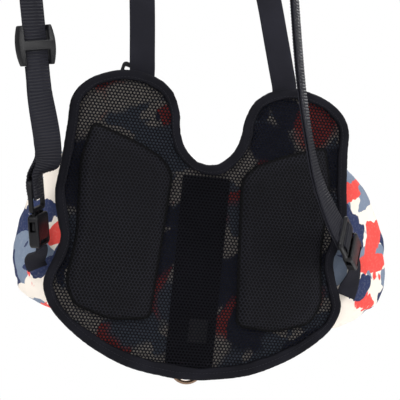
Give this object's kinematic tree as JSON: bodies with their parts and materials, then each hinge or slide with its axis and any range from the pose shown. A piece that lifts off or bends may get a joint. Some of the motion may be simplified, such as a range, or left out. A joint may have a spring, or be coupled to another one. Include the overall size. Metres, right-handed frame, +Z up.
{
  "type": "safety harness vest",
  "caption": "Padded back panel with two shoulder loops, side release buckles, zipped side pouches, a grab handle and a tether ring.",
  "frame": {"origin": "middle of the plane in which the two back pads meet the wearer", "axes": "+Z up, +Y away from the wearer, to the outer side, +X to the side of the shorter and taller shoulder loop"},
  "size_m": [0.409, 0.169, 0.4828],
  "materials": {
    "air_mesh": "open hexagonal air mesh, black",
    "pad_mesh": "fine black mesh over foam",
    "print_fabric": "woven cloth printed with coral, navy, grey blue and cream patches",
    "binding_tape": "black woven tape",
    "label_cloth": "blank satin label",
    "webbing": "black ribbed webbing",
    "grip_foam": "black padded sleeve",
    "ring_metal": "brown nickel finish",
    "zip_nylon": "black zip tape and coil",
    "zip_metal": "black paint",
    "moulded_plastic": "black moulded plastic"
  },
  "bodies": {
    "vest": {"blank_label": "label_cloth", "edge_binding": "binding_tape", "grab_handle": "webbing", "handle_grip": "grip_foam", "left_buckle_female": "moulded_plastic", "left_buckle_tab": "webbing", "left_lobe_adjuster": "moulded_plastic", "left_lobe_loop": "webbing", "left_pad": "pad_mesh", "left_pouch": "print_fabric", "left_shoulder_strap": "webbing", "left_side_strap": "webbing", "left_strap_end": "webbing", "left_strap_return": "webbing", "left_strap_tail": "webbing", "left_zip_tape": "zip_nylon", "left_zip_teeth": "zip_nylon", "mesh_liner": "air_mesh", "outer_shell": "print_fabric", "right_buckle_female": "moulded_plastic", "right_buckle_tab": "webbing", "right_lobe_adjuster": "moulded_plastic", "right_lobe_loop": "webbing", "right_pad": "pad_mesh", "right_pouch": "print_fabric", "right_shoulder_strap": "webbing", "right_side_strap": "webbing", "right_strap_end": "webbing", "right_strap_return": "webbing", "right_strap_tail": "webbing", "right_zip_tape": "zip_nylon", "right_zip_teeth": "zip_nylon", "ring_tab": "webbing", "spine_strip": "binding_tape", "spine_webbing": "webbing"},
    "left_buckle_male": {"left_buckle_male": "moulded_plastic"},
    "left_inner_prong": {"left_inner_prong": "moulded_plastic"},
    "left_outer_prong": {"left_outer_prong": "moulded_plastic"},
    "left_strap_slider": {"left_strap_slider": "moulded_plastic"},
    "left_zip_slider": {"left_zip_slider": "zip_metal"},
    "left_zip_pull": {"left_zip_pull": "zip_metal"},
    "right_buckle_male": {"right_buckle_male": "moulded_plastic"},
    "right_inner_prong": {"right_inner_prong": "moulded_plastic"},
    "right_outer_prong": {"right_outer_prong": "moulded_plastic"},
    "right_strap_slider": {"right_strap_slider": "moulded_plastic"},
    "right_zip_slider": {"right_zip_slider": "zip_metal"},
    "right_zip_pull": {"right_zip_pull": "zip_metal"},
    "tether_ring": {"tether_ring": "ring_metal"}
  },
  "joints": [
    {"name": "left_buckle_release", "type": "slide", "parent": "vest", "child": "left_buckle_male", "axis": [-0.163, -0.174, 0.9712], "range_m": [0, 0.03], "deforming": ["left_strap_end", "left_strap_return"]},
    {"name": "left_outer_prong_squeeze", "type": "hinge", "parent": "left_buckle_male", "child": "left_outer_prong", "pos_m": [-0.1652, -0.01894, 0.00581], "axis": [0.9287, -0.3595, 0.0915], "range_deg": [0, 5], "stiffness_Nm_per_rad": 0.05},
    {"name": "left_inner_prong_squeeze", "type": "hinge", "parent": "left_buckle_male", "child": "left_inner_prong", "pos_m": [-0.15927, -0.00262, 0.00973], "axis": [-0.9287, 0.3595, -0.0915], "range_deg": [0, 5], "stiffness_Nm_per_rad": 0.05},
    {"name": "left_strap_slide", "type": "slide", "parent": "vest", "child": "left_strap_slider", "axis": [-0.1892, -0.1504, 0.9703], "range_m": [-0.022, 0.03], "deforming": ["left_strap_return"]},
    {"name": "left_zip_slide", "type": "slide", "parent": "vest", "child": "left_zip_slider", "axis": [1, 0, 0], "range_m": [0, 0.03]},
    {"name": "left_pull_turn", "type": "hinge", "parent": "left_zip_slider", "child": "left_zip_pull", "pos_m": [-0.1385, 0.0873, 0.034], "axis": [0, 0, 1], "range_deg": [0, 165]},
    {"name": "right_buckle_release", "type": "slide", "parent": "vest", "child": "right_buckle_male", "axis": [-0.4803, -0.7805, 0.4002], "range_m": [0, 0.02], "deforming": ["right_strap_end", "right_strap_return"]},
    {"name": "right_inner_prong_squeeze", "type": "hinge", "parent": "right_buckle_male", "child": "right_inner_prong", "pos_m": [0.14209, -0.02062, -0.00335], "axis": [0.8549, -0.5187, 0.0145], "range_deg": [0, 5], "stiffness_Nm_per_rad": 0.05},
    {"name": "right_outer_prong_squeeze", "type": "hinge", "parent": "right_buckle_male", "child": "right_outer_prong", "pos_m": [0.14559, -0.0144, 0.01296], "axis": [-0.8549, 0.5187, -0.0145], "range_deg": [0, 5], "stiffness_Nm_per_rad": 0.05},
    {"name": "right_strap_slide", "type": "slide", "parent": "vest", "child": "right_strap_slider", "axis": [-0.1881, -0.0409, 0.9813], "range_m": [-0.06, 0], "deforming": ["right_strap_return"]},
    {"name": "right_zip_slide", "type": "slide", "parent": "vest", "child": "right_zip_slider", "axis": [-1, 0, 0], "range_m": [0, 0.046]},
    {"name": "right_pull_turn", "type": "hinge", "parent": "right_zip_slider", "child": "right_zip_pull", "pos_m": [0.155, 0.0873, 0.034], "axis": [0, 0, -1], "range_deg": [0, 165]},
    {"name": "ring_swing", "type": "hinge", "parent": "vest", "child": "tether_ring", "pos_m": [0, 0.0214, -0.124], "axis": [1, 0, 0], "range_deg": [0, 150]}
  ],
  "couplings": [
    {"joint": "left_outer_prong_squeeze", "follows": "left_inner_prong_squeeze", "ratio": 1},
    {"joint": "right_outer_prong_squeeze", "follows": "right_inner_prong_squeeze", "ratio": 1}
  ]
}
